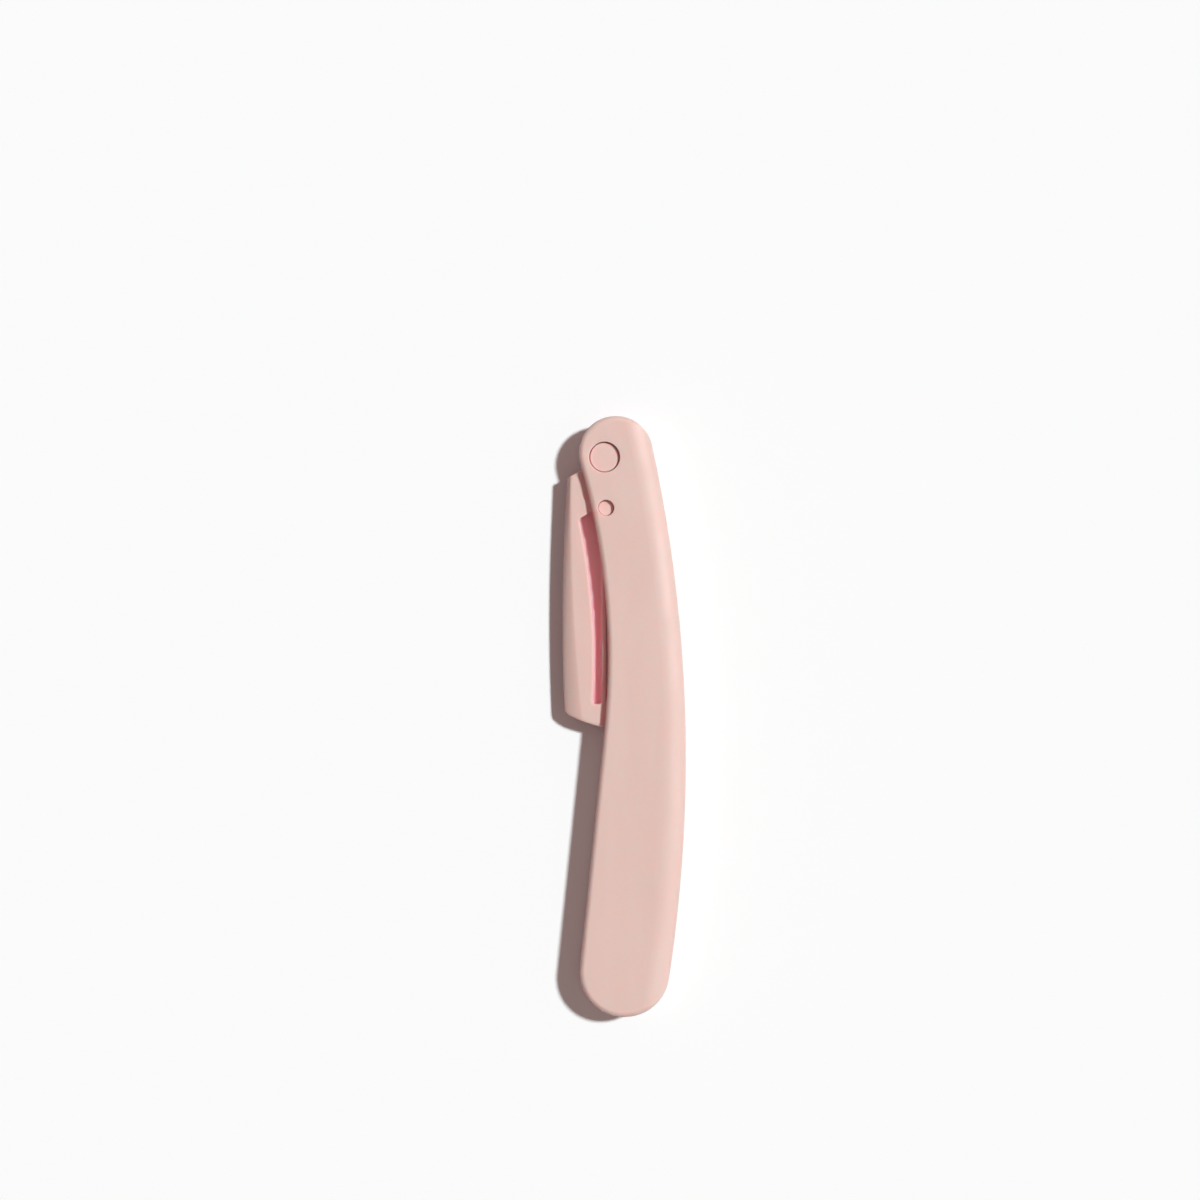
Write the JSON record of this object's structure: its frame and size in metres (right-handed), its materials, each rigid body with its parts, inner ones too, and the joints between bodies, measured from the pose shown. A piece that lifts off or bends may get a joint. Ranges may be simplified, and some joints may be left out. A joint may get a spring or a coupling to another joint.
{
  "type": "eyebrow razor",
  "caption": "Folding eyebrow razor: slim curved two-shell handle with a slotted side, and a swinging head with a rounded spine, a thin blade and a fine comb guard.",
  "frame": {"origin": "on the pivot axis, in the plane of the handle's rear face", "axes": "+X to the handle's back, +Y along the handle to its round pivot end, +Z to the front face"},
  "size_m": [0.0234, 0.1136, 0.0078],
  "materials": {
    "handle_plastic": "smooth pale pink moulding",
    "pin_plastic": "smooth pale pink moulding",
    "head_plastic": "smooth pale pink moulding",
    "blade_steel": "ground stainless strip",
    "guard_plastic": "fine moulding, slightly lighter"
  },
  "bodies": {
    "handle": {"front_shell": "handle_plastic", "rear_shell": "handle_plastic", "pivot_pin": "pin_plastic", "pivot_cap": "pin_plastic", "stop_pin": "pin_plastic"},
    "head": {"blade_carrier": "head_plastic", "blade": "blade_steel", "blade_retainer": "head_plastic", "comb_guard": "guard_plastic"}
  },
  "joints": [
    {"name": "head_fold", "type": "hinge", "parent": "handle", "child": "head", "pos_m": [0, 0, 0.0039], "axis": [0, 0, -1], "range_deg": [0, 170]}
  ]
}
